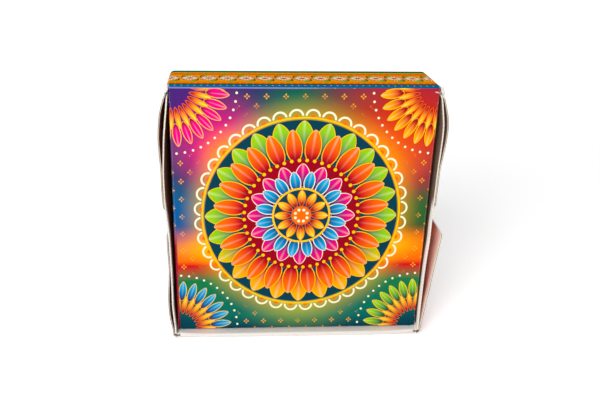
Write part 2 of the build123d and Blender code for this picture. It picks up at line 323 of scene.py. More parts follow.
class StageSettings(bpy.types.PropertyGroup):
    """Floor, light and camera."""
    floor: ink("Floor", "Colour of floor and background", 0.90, 0.90, 0.90)
    lift: amount("Background lift", "Brightness added to the floor for the camera", 0.44, "NONE")
    key_power: amount("Key light", "Power of the large front light", 14.0, "POWER")
    fill_power: amount("Fill light", "Power of the side light", 8.0, "POWER")
    back_power: amount("Back light", "Power of the light behind the box", 3.0, "POWER")
    world: amount("Surroundings", "Strength of the even light all round", 0.24, "NONE")


# Mesh making

def edge_loops(kind, board, thickness):
    """(inset, depth) of each loop from the outer face round an edge to the inner face."""
    r, deep, liner = board.rounding, board.opening, board.liner
    if kind == "fold":
        return [(0, thickness * k / 7) for k in range(8)]
    near, far = [(r, 0), (0.3 * r, 0.3 * r)], [(0.3 * r, thickness - 0.3 * r), (r, thickness)]
    if kind == "flute":
        return near + [(0, liner), (deep, liner), (deep, thickness - liner),
                       (0, thickness - liner)] + far
    return near + [(0, r), (0.7 * r, 0.4 * thickness), (0.7 * r, 0.6 * thickness),
                   (0, thickness - r)] + far


def no_share(across, along):
    return 0.0


def turned(across, along):
    """Puts a sheet whose rows run back from the rim square with the print."""
    return along, across


class Sheet:
    """A panel or flap as a closed mesh with print outside, bare board inside and real cut edges.

    rows are (along, start, end) of each row of the flat outline, place turns a place on the flat
    sheet and a depth under its outer face into a point, and print_at turns it into a place on the
    print. wear is how worn the print is there, and on the front lining a painted shade under the
    lid's edge. torn is how white the paper under it is laid bare, and on the side walls also a
    painted highlight along the rim. beyond tells where a second print starts. Cut edges across the
    flutes show the wavy layer.
    """
    OUTSIDE, INSIDE, EDGE, FLUTES, BEYOND = range(5)
    WAVE_STEPS = 10                             # points on one wave of the fluted layer
    SHARP = radians(38)                         # edges bent more than this stay sharp

    def __init__(self, node, rows, columns, place, sides, thickness=BOARD, wear=no_share,
                 print_at=None, torn=no_share, beyond=no_share, suffix="_board"):
        self.node, self.suffix, self.place, self.thickness = node, suffix, place, thickness
        self.wear, self.print_at, self.torn, self.beyond = wear, print_at, torn, beyond
        self.board = bpy.context.scene.sweet_board
        self.rows = [[(start + (end - start) * k / columns, along) for k in range(columns + 1)]
                     for along, start, end in rows]
        self.points, self.flat, self.faces, self.kinds, self.worn, self.bare = [], [], [], [], [], []
        self.border(sides)
        self.fill()
        for side, run in groupby(range(len(self.walk)), lambda n: self.walk[n][2]):
            if side == "flute":
                self.add_wave(list(run))

    def add(self, across, along, depth, worn=0.0):
        self.points.append(self.place(across, along, depth))
        self.flat.append(self.print_at(across, along) if self.print_at else (across, along))
        self.worn.append(worn)
        self.bare.append(self.torn(across, along))
        return len(self.points) - 1

    def face(self, corners, kind):
        self.faces.append(corners)
        self.kinds.append(kind)

    def border(self, sides):
        """Walks round the outline and works out each border point's edge kind and outward way."""
        last, wide = len(self.rows) - 1, len(self.rows[0]) - 1
        self.walk = [(0, k, sides[0]) for k in range(wide)]
        self.walk += [(i, wide, sides[1]) for i in range(last)]
        self.walk += [(last, k, sides[2]) for k in range(wide, 0, -1)]
        self.walk += [(i, 0, sides[3]) for i in range(last, 0, -1)]
        places = [np.array(self.rows[i][k]) for i, k, _ in self.walk]
        self.places, self.outward = places, []
        for before, here, after in zip(places[-1:] + places, places, places[1:] + places[:1]):
            runs = [run for run in (here - before, after - here) if np.hypot(*run) > 1e-7]
            way = sum(np.array((run[1], -run[0])) / np.hypot(*run) for run in runs)
            self.outward.append(way / max(np.hypot(*way), 1e-9))

    def fill(self):
        """Fills both faces and closes the edge between them with seven bands."""
        loops = {kind: edge_loops(kind, self.board, self.thickness) for kind in ("fold", "flute", "cut")}
        ring_of = {(i, k): n for n, (i, k, _) in enumerate(self.walk)}
        rings = [[None] * len(self.walk) for _ in range(8)]

        def ring_point(ring, n, worn):
            inset, deep = loops[self.walk[n][2]][ring]
            rings[ring][n] = self.add(*(self.places[n] - self.outward[n] * inset), deep, worn)
            return rings[ring][n]

        grids = [[[ring_point(ring, ring_of[i, k], self.wear(*spot)) if (i, k) in ring_of
                   else self.add(*spot, depth, self.wear(*spot)) for k, spot in enumerate(row)]
                  for i, row in enumerate(self.rows)] for depth, ring in ((0.0, 0), (self.thickness, 7))]
        for ring in range(1, 7):
            for n, (_, _, kind) in enumerate(self.walk):
                ring_point(ring, n, 1.0 if ring == 1 and kind != "fold" else 0.0)
        for i in range(len(self.rows) - 1):
            for k in range(len(self.rows[0]) - 1):
                corners = ((i, k), (i, k + 1), (i + 1, k + 1), (i + 1, k))
                self.face([grids[0][r][q] for r, q in corners],
                          self.BEYOND if self.beyond(*self.rows[i][k]) else self.OUTSIDE)
                self.face([grids[1][r][q] for r, q in reversed(corners)], self.INSIDE)
        bands = (self.OUTSIDE, self.EDGE, self.FLUTES, self.FLUTES, self.FLUTES, self.EDGE, self.INSIDE)
        for ring, band in enumerate(bands):
            for n, (_, _, side) in enumerate(self.walk):
                m = (n + 1) % len(self.walk)
                kind = self.EDGE if band == self.FLUTES and side != "flute" else band
                self.face([rings[ring][n], rings[ring + 1][n], rings[ring + 1][m], rings[ring][m]], kind)

    def add_wave(self, run):
        """Adds the wavy layer that shows between the liners along one fluted cut edge."""
        board = self.board
        line = [self.places[n] for n in run] + [self.places[(run[-1] + 1) % len(self.places)]]
        outward = self.outward[run[len(run) // 2]]
        lengths = [0.0]
        for a, b in zip(line, line[1:]):
            lengths.append(lengths[-1] + np.hypot(*(b - a)))
        whole = lengths[-1]
        count = max(int(whole / board.flute * self.WAVE_STEPS), 4)
        swing = (self.thickness - 2 * board.liner - board.medium) / 2
        previous = None
        for far in (whole * k / count for k in range(count + 1)):
            spot = np.array([np.interp(far, lengths, [p[axis] for p in line]) for axis in (0, 1)])
            shift = 0.25 * noise.noise((far / MM * 0.4, whole / MM, 0.0))
            middle = self.thickness / 2 + swing * sin(tau * (far / board.flute + shift))
            ragged = 0.12 * MM * (1 + noise.noise((far / MM * 1.7, 5.0, whole / MM)))
            half = board.medium / 2
            ring = [self.add(*(spot - outward * inset), middle + turn) for inset, turn in (
                (ragged, -half), (ragged, half), (board.opening, half), (board.opening, -half))]
            if previous:
                for k, m in ((0, 1), (1, 2), (2, 3), (3, 0)):
                    self.face([previous[k], previous[m], ring[m], ring[k]], self.FLUTES)
            else:
                self.face(ring, self.FLUTES)
            previous = ring
        self.face(previous[::-1], self.FLUTES)

    def make(self, body, materials, slot="printed_board", replaced=True):
        """Links the mesh, sends its normals outwards, and rides it on its body."""
        mesh = bpy.data.meshes.new(self.node + self.suffix)
        mesh.from_pydata([tuple(p) for p in self.points], [], self.faces)
        piece = bpy.data.objects.new(self.node + self.suffix, mesh)
        bpy.context.scene.collection.objects.link(piece)
        for material in materials:
            mesh.materials.append(material)
        mesh.polygons.foreach_set("material_index", self.kinds)
        uv = mesh.uv_layers.new(name="Sheet")
        for loop in mesh.loops:
            uv.data[loop.index].uv = self.flat[loop.vertex_index]
        for name, shares in (("worn", self.worn), ("torn", self.bare)):
            attribute = mesh.attributes.new(name, "FLOAT", "POINT")
            attribute.data.foreach_set("value", np.array(shares, np.float32))
        work = bmesh.new()
        work.from_mesh(mesh)
        bmesh.ops.remove_doubles(work, verts=work.verts, dist=0.001 * MM)
        bmesh.ops.recalc_face_normals(work, faces=work.faces)
        work.to_mesh(mesh)
        work.free()
        mesh.shade_smooth()
        mesh.set_sharp_from_angle(angle=self.SHARP)
        if body:
            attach(piece, body)
        if replaced:
            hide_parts(self.node)
        return piece

    def bridge(self, second, start, end, materials):
        """Makes the sheet as a crease on no body, with its place baked into the mesh."""
        piece = self.make(None, materials, "crushed_score")
        self.place(*start, 0)
        self.place(*end, 0)
        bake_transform(piece)


def steps(start, end, size):
    """Places from start to end, about size apart."""
    count = max(int(abs(end - start) / size + 0.5), 1)
    return [start + (end - start) * k / count for k in range(count + 1)]


def strips(places, half):
    """Rows of one width at the given places along a sheet."""
    return [(t, -half, half) for t in places]


def ripple(x, y, z, scale, amount):
    """Small smooth unevenness of hand-folded board."""
    return amount * noise.noise((x / scale, y / scale, z / scale))


def settle(point):
    """Curls the front wall's corners up a little, and crushes the two far corners at the rim."""
    board = bpy.context.scene.sweet_board
    x, y, z = point
    front = smooth(abs(x), EAR_X - 24 * MM, EAR_X) * (1 - smooth(z, 0, 26 * MM))
    z += board.corner_lift * front * (1 - smooth(y, RIM_Y, RIM_Y + 30 * MM))
    outer = max(abs(x) - LOOSE.x, 0) / EAR_FOLD
    near = (1 - smooth(y, RIM_Y, RIM_Y + 40 * MM)) * smooth(z, TOP_Z - 7.5 * MM, TOP_Z - 1 * MM)
    crush = board.corner_crush * min(outer, 1.2) * near
    return Vector((x - crush * (1 if x > 0 else -1), y, z - 0.6 * crush))


# Where a place on each flat panel comes to lie

def lid_bend(across, along):
    """How far the lid's outer face lies behind its flat plane; the folds at its edges stay put."""
    bow = bpy.context.scene.sweet_board.lid_bow
    inner = max(1 - (across / FLANGE_X) ** 2, 0)
    hollow = bow * inner * smooth(along, 0.2 * LID_LENGTH, 0.85 * LID_LENGTH)
    hollow *= 1 - 0.8 * smooth(along, LID_LENGTH - 22 * MM, LID_LENGTH)
    edge = smooth(inner, 0.0, 0.25) * (1 - smooth(along, LID_LENGTH - 9 * MM, LID_LENGTH))
    corner = Vector((across - FLANGE_X, along)).length
    dent = 0.5 * MM * max(1 - corner / (6 * MM), 0) ** 1.5
    dent -= 0.2 * MM * (1 - smooth(abs(corner - 3.0 * MM), 0, 0.7 * MM))
    return hollow + dent + edge * ripple(across, along, 0, 34 * MM, 0.25 * MM)


def crushed(depth, from_fold):
    """Depth in a board that the scoring rule has thinned beside a fold."""
    return depth * (1 - 0.5 * (1 - smooth(from_fold, 0.4 * MM, 3.5 * MM)))


def arch(radius, along, depth):
    """Places off the middle line of a fold of an outer radius, onwards and outwards."""
    angle = along / radius
    return (radius - depth) * sin(angle), (radius - depth) * cos(angle)


def place_lid(across, along, depth):
    beside = min(abs(FLANGE_X - abs(across)), max(LID_LENGTH - along, 0))
    return ON_LID @ Vector((across, RIM_Y + crushed(depth, beside) + lid_bend(across, along),
                            HINGE.z - along))


def place_lid_crease(across, along, depth):
    """The hinge fold: a flat land on the hinge wall, the bend, and a land on the lid."""
    if along < LAND:
        return Vector((across, HINGE_FRONT - along, TOP_Z - depth))
    if along - LAND < HINGE_ARC:
        on, out = arch(BOARD, along - LAND, depth)
        return Vector((across, HINGE.y - on, HINGE.z + out))
    return place_lid(across, along - LAND - HINGE_ARC, depth)


def place_tuck_crease(across, along, depth):
    on, out = arch(BOARD, along, depth)
    return ON_LID @ Vector((across, TUCK_SQUARE.y - out + lid_bend(across, LID_LENGTH),
                            TUCK_SQUARE.z - on))


def place_tuck(lean):
    def place(across, along, depth):
        curl = ripple(across, along, 7.0, 30 * MM, 0.3 * MM) * smooth(along, 2 * MM, 12 * MM)
        y, z = along, crushed(depth, along) - BOARD + curl
        return ON_LID @ Vector((across, TUCK_SQUARE.y + y * cos(lean) - z * sin(lean)
                                + lid_bend(across, LID_LENGTH),
                                TUCK_SQUARE.z + y * sin(lean) + z * cos(lean)))
    return place


def place_flange_crease(side):
    def place(across, along, depth):
        on, out = arch(BOARD, across, depth)
        bend = lid_bend(side * FLANGE_X, along)
        return ON_LID @ Vector((side * (FLANGE_X + on), HINGE.y - out + bend, HINGE.z - along))
    return place


def place_flange(side, flare):
    def place(across, along, depth):
        out = BOARD - crushed(depth, across) + ripple(
            across, along, 3.0 + side, 26 * MM, 0.35 * MM) * smooth(across, 1 * MM, 8 * MM)
        bend = lid_bend(side * FLANGE_X, along)
        return ON_LID @ Vector((side * (FLANGE_X + out * cos(flare) + across * sin(flare)),
                                HINGE.y - out * sin(flare) + across * cos(flare) + bend,
                                HINGE.z - along))
    return place


def place_hinge_wall(across, along, depth):
    flat = FOLD_Y - HINGE_FRONT
    if along < flat:
        sag = ripple(across, along, 1.0, 40 * MM, 0.15 * MM) * smooth(along, 0, 8 * MM) * (
            1 - smooth(along, flat - 8 * MM, flat))
        return Vector((across, HINGE_FRONT + along, TOP_Z - depth - abs(sag)))
    on, out = arch(BASE_FOLD, along - flat, depth)
    return Vector((across, FOLD_Y + on, TOP_Z - BASE_FOLD + out))


def place_base(across, along, depth):
    middle_z = (BASE_LOW.z + BASE_HIGH.z) / 2
    fade = (1 - smooth(abs(across), 0.6 * BASE_HIGH.x, BASE_HIGH.x)) * (
        1 - smooth(abs(along), 0.6 * (BASE_HIGH.z - middle_z), BASE_HIGH.z - middle_z))
    hollow = (0.5 * MM + ripple(across, along, 2.0, 45 * MM, 0.25 * MM)) * fade
    return Vector((across, BASE_Y - depth - abs(hollow), middle_z + along))


def place_front_wall(across, along, depth):
    """across runs back from the rim and along runs over the width."""
    if across < WALL_DEPTH:
        return settle((along, RIM_Y + across, depth))
    on, out = arch(BASE_FOLD, across - WALL_DEPTH, depth)
    return settle((along, FOLD_Y + on, BASE_FOLD - out))


def place_rim(across, along, depth):
    """along runs round the rolled rim from below to above."""
    quarter = pi / 2 * RIM_FOLD
    straight = RIM_TOP - 2 * RIM_FOLD
    if along < quarter:
        on, out = arch(RIM_FOLD, along, depth)
        return settle((across, LINING_Y - on, RIM_FOLD - out))
    if along < quarter + straight:
        soft = ripple(across, 0, 0, 9 * MM, 0.12 * MM)
        return settle((across, RIM_Y + depth + abs(soft), RIM_FOLD + along - quarter))
    on, out = arch(RIM_FOLD, along - quarter - straight, depth)
    return settle((across, LINING_Y - out, RIM_TOP - RIM_FOLD + on))


def lining_half(along):
    """Half the width of the lining, whose ends are cut at a slant next to the rim."""
    return RIM_HALF - 2.4 * MM * min(max(along, 0) / (4.5 * MM), 1) - 0.02 * along


def place_lining(across, along, depth):
    swell = ripple(across, along, 4.0, 22 * MM, 0.2 * MM) * smooth(along, 0, 10 * MM)
    return settle((across, LINING_Y + along, RIM_TOP - depth - abs(swell)))


def place_wall(side, profile):
    def place(across, along, depth):
        if across < WALL_DEPTH:
            share = 1 - across / WALL_DEPTH
            bow = np.interp(along, *profile) - SIDE_X + ripple(along, across, side, 16 * MM, 0.18 * MM)
            return settle((side * (SIDE_X + bow * share - depth), RIM_Y + across, along))
        on, out = arch(BASE_FOLD, across - WALL_DEPTH, depth)
        return settle((side * (SIDE_X - BASE_FOLD + out), FOLD_Y + on, along))
    return place


def place_tab(side, fold, low):
    """across runs round the tab's fold and then inwards, along runs back from the rim."""
    def place(across, along, depth):
        inward = across - pi / 2 * fold
        if inward < 0:
            on, out = arch(fold, across, depth)
            return settle((side * (SIDE_X - fold + out), along, low + fold - on))
        covered = SIDE_X - fold - lining_half(along - LINING_Y)
        ridge = 0.6 * MM * smooth(inward, 0, 0.9 * MM) * (
            1 - smooth(inward, covered - 1.3 * MM, covered - 0.5 * MM))
        return settle((side * (SIDE_X - fold - inward), along, low + depth + ridge))
    return place


def place_ear(side, from_top, profile, crumple):
    """across runs back from the rim, along runs round the corner and then along the wall."""
    def place(across, along, depth):
        rough = crumple * (1 - smooth(along, 3 * MM, 11 * MM)) * (1 - smooth(across, 1 * MM, 9 * MM))
        bump = rough * noise.noise((across / (1.6 * MM), along / (1.9 * MM), side * 3.0))
        if along < EAR_CORNER:
            on, out = arch(EAR_FOLD, along, depth - bump)
            x, reach = EAR_X - EAR_FOLD + on, EAR_FOLD - out
        else:
            reach = EAR_FOLD + along - EAR_CORNER
            z = TOP_Z - reach if from_top else reach
            share = max(1 - across / WALL_DEPTH, 0)
            soft = ripple(along, across, 9.0 + side, 14 * MM, 0.2 * MM) * smooth(along, 4 * MM, 14 * MM)
            x = EAR_X + (np.interp(z, *profile) - EAR_X + soft) * share - depth + bump
        return settle((side * x, RIM_Y + across, TOP_Z - reach if from_top else reach))
    return place


def place_loose_crease(across, along, depth):
    on, out = arch(EAR_FOLD, along, depth)
    return settle((LOOSE.x + on, RIM_Y + across, LOOSE.z - out))


def place_loose_ear(lean):
    def place(across, along, depth):
        curl = abs(ripple(across, along, 11.0, 22 * MM, 0.5 * MM)) * smooth(along, 4 * MM, 20 * MM)
        curl += 0.7 * MM * smooth(along, 20 * MM, 68 * MM) * across / WALL_DEPTH
        x, z = EAR_FOLD - depth + curl, along
        return settle((LOOSE.x + x * cos(lean) + z * sin(lean), RIM_Y + across,
                       LOOSE.z - x * sin(lean) + z * cos(lean)))
    return place


# Materials

def shade(colour, share):
    """A plain colour made darker."""
    return tuple(share * channel for channel in colour)


def mottle(recipe, colour, share, value, low, high):
    """Starts a finish with one colour and a darker shade of it."""
    recipe.tone = colour
    recipe.lay(shade(colour, share), value, low, high)


def inside_board(recipe):
    """Bare brown face of the board, a little mottled, with the flutes just showing."""
    board = recipe.board
    fibre = recipe.noise(900.0, 4.0)
    mottle(recipe, board.inside, 0.86, recipe.noise(60.0, 3.0, 0.5), 0.35, 0.7)
    recipe.lay(board.fleck, fibre, 0.62, 0.85, 0.0, 0.22)
    # White where the torn attribute is high: torn paper, and on the side walls also a painted highlight
    # along the rim.
    recipe.lay(board.torn, recipe.attribute("torn"), 0.3, 0.7)
    return recipe.finish(Roughness=0.85, Specular_IOR_Level=0.25,
                         Normal=recipe.fluted(fibre * 0.5, 0.25, 0.1 * MM))


def pulled_share(recipe):
    """How much of the wall's red printed paper has stuck to the loose ear, or is gone from the wall."""
    across, along = recipe.sheet_place()
    share = recipe.step(across, 5 * MM, 14 * MM) * recipe.step(across, 72 * MM, 64 * MM)
    share = share * recipe.step(along, 41 * MM, 36 * MM)
    return recipe.step(share + recipe.noise(70.0, 4.0) * 0.9, 0.95, 1.30)


def loose_inside(recipe):
    """Inner face of the loose ear, painted with light: cream near the rim where light falls, a
    painted red reflection of the wall's print deeper in the gap, darker red as painted shade near
    the fold, and the plain brown board far back.
    """
    board, inks = recipe.board, recipe.inks
    across, along = recipe.sheet_place()
    deep = along + recipe.noise(110.0) * (5 * MM)
    # Painted highlight: the cut edge's cream where light falls near the rim.
    recipe.tone = board.edge
    # Painted red reflection of the wall's print, stronger deeper in the gap.
    recipe.lay(inks.blush, deep, 4 * MM, 7 * MM)
    recipe.lay(inks.pulled, deep, 7 * MM, 12 * MM)
    recipe.lay(inks.fibre, deep, 12 * MM, 20 * MM)
    # Painted shade: dark red near the ear's fold.
    recipe.cover(inks.shaded_red_bounce, recipe.step(across, 62 * MM, 20 * MM)
                 * recipe.step(deep, 6 * MM, 9 * MM))
    recipe.lay(board.edge, recipe.noise(200.0), 0.5, 0.75, 0.0, 0.4)
    # The plain brown inside of the board, far back.
    recipe.lay(board.inside, along, 34 * MM, 43 * MM)
    height = recipe.noise(900.0, 4.0) * 0.5 + pulled_share(recipe) * 0.4
    return recipe.finish(Roughness=0.9, Specular_IOR_Level=0.2,
                         Normal=recipe.fluted(height, 0.35, 0.1 * MM))


def cut_edge(recipe):
    """Cut edge of the board: cream paper layers with a brown core, white where paper is torn."""
    torn = recipe.board.torn
    grain = recipe.noise(700.0, 4.0, 0.65)
    low = recipe.step(abs(recipe.sheet_place()[0]), 80 * MM, 74 * MM, 0.0, 0.22)
    mottle(recipe, recipe.board.edge, 0.82, grain, 0.5, 0.8)
    recipe.lay(torn, recipe.noise(240.0, 2.0, 0.5) + low, 0.40, 0.62, 0.0, 0.8)
    recipe.lay(torn, recipe.attribute("torn") + grain * 0.4, 0.5, 0.8)
    return recipe.finish(Roughness=0.9, Specular_IOR_Level=0.2,
                         Normal=recipe.bump(grain, 0.6, 0.15 * MM))


def pale_edge(recipe):
    """Cut edge along the flutes, pressed smooth: cream with white and brown patches."""
    board = recipe.board
    grain = recipe.noise(500.0, 4.0)
    _, along = recipe.sheet_place()
    low = recipe.step(along, 95 * MM, 55 * MM, 0.0, 0.32)
    dots = recipe.step(recipe.math("SINE", along * (tau / board.flute)) + grain, 1.0, 1.4)
    recipe.tone = shade(board.edge, 0.9)
    recipe.lay(board.torn, recipe.noise(60.0, 3.0, 0.5) + low, 0.45, 0.7)
    recipe.cover(shade(board.kraft, 0.55), dots * recipe.step(grain, 0.4, 0.6, 0.0, 0.45))
    recipe.lay(shade(board.edge, 0.45), grain, 0.52, 0.72, 0.0, 0.7)
    return recipe.finish(Roughness=0.85, Specular_IOR_Level=0.2,
                         Normal=recipe.bump(grain, 0.5, 0.12 * MM))


def fluted_paper(recipe):
    """Brown recycled paper of the wavy layer."""
    grain = recipe.noise(1100.0, 4.0, 0.7)
    mottle(recipe, recipe.board.kraft, 0.55, grain, 0.4, 0.7)
    recipe.lay(recipe.board.torn, recipe.attribute("torn"), 0.4, 0.8, 0.0, 0.6)
    return recipe.finish(Roughness=0.95, Specular_IOR_Level=0.2,
                         Normal=recipe.bump(grain, 0.4, 0.08 * MM))


def dried_paste(recipe):
    """Yellowish film of paste, streaked by the brush."""
    streak = recipe.noise(420.0)
    mottle(recipe, recipe.board.paste, 0.7, streak, 0.4, 0.65)
    return recipe.finish(Roughness=0.55, Normal=recipe.bump(streak, 0.5, 0.1 * MM))


def torn_paper(recipe):
    """White liner paper torn off a fold, soft and fibrous."""
    fibre = recipe.noise(1300.0, 5.0, 0.7)
    mottle(recipe, recipe.board.torn, 0.78, fibre, 0.4, 0.7)
    recipe.lay(shade(recipe.board.edge, 0.6), recipe.noise(14.0), 0.5, 0.7, 0.0, 0.6)
    return recipe.finish(Roughness=0.95, Specular_IOR_Level=0.2,
                         Normal=recipe.bump(fibre, 0.6, 0.1 * MM))


def white_coat(recipe):
    """Unprinted coated outer face, where the front wall rolls over."""
    fine = recipe.noise(800.0)
    mottle(recipe, recipe.board.coat, 0.9, recipe.noise(90.0, 3.0, 0.5), 0.35, 0.7)
    # Tan where the worn attribute is high: on the rounded cut edges, and on the lining as a painted
    # shade where it runs under the lid's edge.
    recipe.lay(recipe.board.edge, recipe.attribute("worn") + fine * 0.4, 0.9, 1.3, 0.0, 0.6)
    return recipe.finish(Roughness=0.6, Specular_IOR_Level=0.3,
                         Normal=recipe.fluted(fine * 0.5, 0.2, 0.08 * MM))


class Rosette:
    """Rings of petals, beads and arches round one middle, laid over a recipe's tone."""

    def __init__(self, recipe, x, y):
        self.recipe, self.radius = recipe, recipe.length(x, y)
        self.turn = recipe.math("ARCTAN2", y, x) / tau

    def sector(self, count, offset):
        """Place across one of count equal sectors, from -1 to 1."""
        return self.recipe.cell(self.turn * count + (offset + 40.0))

    def petals(self, count, inner, outer, root, tip, width=0.9, offset=0.0, line=None, stroke=0.006):
        """A ring of pointed petals, shaded from root to tip, with a vein and a fine outline."""
        recipe, inks = self.recipe, self.recipe.inks
        share = recipe.node("ShaderNodeMapRange", {}, {"Value": self.radius, "From Min": inner,
                                                       "From Max": outer})
        lobe = recipe.math("SINE", recipe.math("POWER", share, 0.72) * pi)
        sector = abs(self.sector(count, offset))
        inside = (recipe.math("POWER", lobe, 0.62) * width - sector) * self.radius * (pi / count)
        ground, recipe.tone = recipe.tone, root
        recipe.lay(tip, share, 0.1, 0.85)
        recipe.cover(inks.cream, recipe.step(sector, 0.0, 0.2, 0.3, 0.0) * share)
        recipe.lay(inks.shadow, share, 0.35, 0.0, 0.0, 0.75)
        petal, recipe.tone = recipe.tone, ground
        recipe.lay(petal, inside, 0.0, 0.5 * stroke)
        if line is not None:
            recipe.cover(line, recipe.step(inside, 0.0, 0.4 * stroke)
                         * recipe.step(inside, 1.6 * stroke, stroke))

    def off_spot(self, count, radius, offset=0.0):
        """Distance to the nearest of count spots on a ring."""
        return self.recipe.length(self.sector(count, offset) * (pi * radius / count),
                                  self.radius - radius)

    def beads(self, count, radius, size, tone, offset=0.0):
        self.recipe.lay(tone, self.off_spot(count, radius, offset), size, 0.7 * size)

    def arches(self, count, radius, size, width, tone):
        """A ring of round arches that stand on the ring's radius."""
        line = self.recipe.step(abs(self.off_spot(count, radius) - size), width, 0.5 * width)
        self.recipe.cover(tone, line * self.recipe.step(self.radius, radius, radius + width))

    def ring(self, radius, width, tone):
        self.recipe.lay(tone, abs(self.radius - radius), width, 0.6 * width)

    def disc(self, radius, tone, soft=0.01):
        self.recipe.lay(tone, self.radius, radius, radius - soft)


def finish_print(recipe, paper=None, sheen=0.05, tears=True):
    """Varnished ink on fluted board, cracked off along folds and torn to white at corners."""
    crack = recipe.noise(520.0, 4.0, 0.65)
    worn = recipe.step(recipe.attribute("worn") + crack * 0.5, 0.62, 0.95)
    recipe.cover(paper or recipe.inks.worn, worn)
    if tears:
        recipe.lay(recipe.board.torn, recipe.attribute("torn") + crack * 0.5, 0.55, 0.85)
    recipe.lay(recipe.inks.shadow, recipe.noise(2400.0, 2.0), 0.5, 0.9, 0.0, 0.25)
    fine = recipe.noise(650.0, 3.0, 0.5)
    return recipe.finish(Roughness=recipe.step(fine + worn, 0.4, 1.2, 0.42, 0.7),
                         Specular_IOR_Level=sheen,
                         Normal=recipe.fluted(fine * 0.5 - worn * 0.8, 0.22, 0.06 * MM))


def lid_ground(recipe, x, y):
    """Fields of jewel colours that run into each other, warm in the middle."""
    inks = recipe.inks
    recipe.tone = recipe.node("ShaderNodeValToRGB", {"stops": (
        (0.00, inks.night), (0.06, inks.teal), (0.22, inks.green), (0.285, inks.red),
        (0.31, inks.orange), (0.42, inks.orange), (0.46, inks.umber), (0.54, inks.leaf),
        (0.66, inks.night), (0.80, inks.teal), (0.90, inks.leaf), (1.0, inks.night))},
        {0: y * 0.5 + 0.5})
    for middle_x, middle_y, wide, high, colour, strength in (
            (-0.85, 0.80, 0.95, 0.80, inks.purple, 1.0),
            (-0.62, 0.55, 0.50, 0.50, inks.pink, 1.0),
            (-0.62, 0.52, 0.26, 0.26, inks.orange, 0.8),
            (-1.05, 0.02, 0.55, 0.42, inks.blue, 1.0),
            (-0.05, 0.75, 0.40, 0.45, inks.green, 0.8),
            (0.80, 0.70, 0.95, 0.75, inks.red, 1.0),
            (0.60, 0.45, 0.50, 0.45, inks.orange, 1.0),
            (1.0, 0.0, 0.45, 0.28, inks.leaf, 0.9),
            (0.0, -0.85, 0.55, 0.30, inks.lime, 0.3),
            (-0.75, -0.28, 0.40, 0.14, inks.gold, 0.8),
            (0.75, -0.26, 0.40, 0.14, inks.gold, 0.8),
            (-1.0, -1.0, 0.45, 0.40, inks.night, 0.9),
            (1.0, -1.0, 0.40, 0.35, inks.night, 0.9)):
        off = recipe.length((x - middle_x) / wide, (y - middle_y) / high)
        recipe.lay(colour, off, 1.0, 0.0, 0.0, strength)


def lid_print(recipe):
    """Festive print of the lid: one large rangoli, corner flowers and bead strings."""
    inks = recipe.inks
    across, along = recipe.sheet_place()
    x, y = across / FLANGE_X, 1.0 - along / (0.5 * LID_LENGTH)
    main = Rosette(recipe, x, y)
    corner = Rosette(recipe, abs(x) - 1.0, abs(y) - 1.0)
    lid_ground(recipe, x, y)

    # Small crosses of gold all over the field
    ground, pitch = recipe.tone, 0.145
    cross = Rosette(recipe, recipe.cell((x + y) / pitch + 40.0), recipe.cell((x - y) / pitch + 40.0))
    cross.petals(4, 0.02, 0.42, inks.orange, inks.yellow, 0.7)
    sown, recipe.tone = recipe.tone, ground
    recipe.cover(sown, recipe.step(main.radius, 0.90, 0.97)
                 * recipe.step(corner.radius, 0.50, 0.56) * 0.75)

    recipe.lay(inks.yellow, main.radius, 0.98, 0.70, 0.0, 0.55)
    main.arches(40, 0.795, 0.05, 0.010, inks.cream)
    main.beads(40, 0.795, 0.020, inks.orange)
    main.ring(0.785, 0.008, inks.yellow)
    main.disc(0.775, inks.night)
    low = recipe.step(y, -0.15, -0.55)
    main.petals(24, 0.52, 0.765, recipe.blend(inks.teal, inks.red, low),
                recipe.blend(inks.lime, inks.gold, low), 0.95, 0.5, inks.yellow)
    main.petals(24, 0.44, 0.70, inks.red, inks.orange, 0.92, 0.0, inks.yellow)
    main.disc(0.475, inks.crimson)
    main.beads(48, 0.455, 0.016, inks.yellow)
    main.petals(16, 0.24, 0.43, inks.purple, inks.pink, 0.95, 0.5, inks.cream)
    main.petals(16, 0.20, 0.37, inks.blue, inks.sky, 0.85, 0.0, inks.cream)
    main.disc(0.235, inks.night)
    main.ring(0.225, 0.010, inks.yellow)
    main.petals(12, 0.08, 0.215, inks.red, inks.yellow, 0.9, 0.5, inks.orange, 0.004)
    main.disc(0.085, inks.orange)
    main.beads(8, 0.05, 0.014, inks.cream)

    # The corner flowers take their colour from the field round them
    right, low = recipe.step(x, -0.1, 0.1), recipe.step(y, 0.1, -0.1)
    root, tip = (recipe.blend(recipe.blend(upper_left, upper_right, right),
                              recipe.blend(lower_left, lower_right, right), low)
                 for upper_left, upper_right, lower_left, lower_right in (
                     (inks.pink, inks.red, inks.blue, inks.green),
                     (inks.pink, inks.gold, inks.sky, inks.lime)))
    corner.petals(28, 0.26, 0.44, root, tip, 0.92, 0.0, inks.yellow, 0.005)
    corner.petals(28, 0.14, 0.31, inks.red, inks.yellow, 0.9, 0.5, inks.orange, 0.004)
    corner.beads(48, 0.49, 0.011, inks.cream)
    recipe.cover(inks.crimson, recipe.step(across, 0.7 * MM - FLANGE_X, 0.5 * MM - FLANGE_X)
                 * recipe.step(along, 84 * MM, 100 * MM))
    return finish_print(recipe, recipe.blend(inks.worn, inks.blush, recipe.step(x, -0.3, 0.7)))


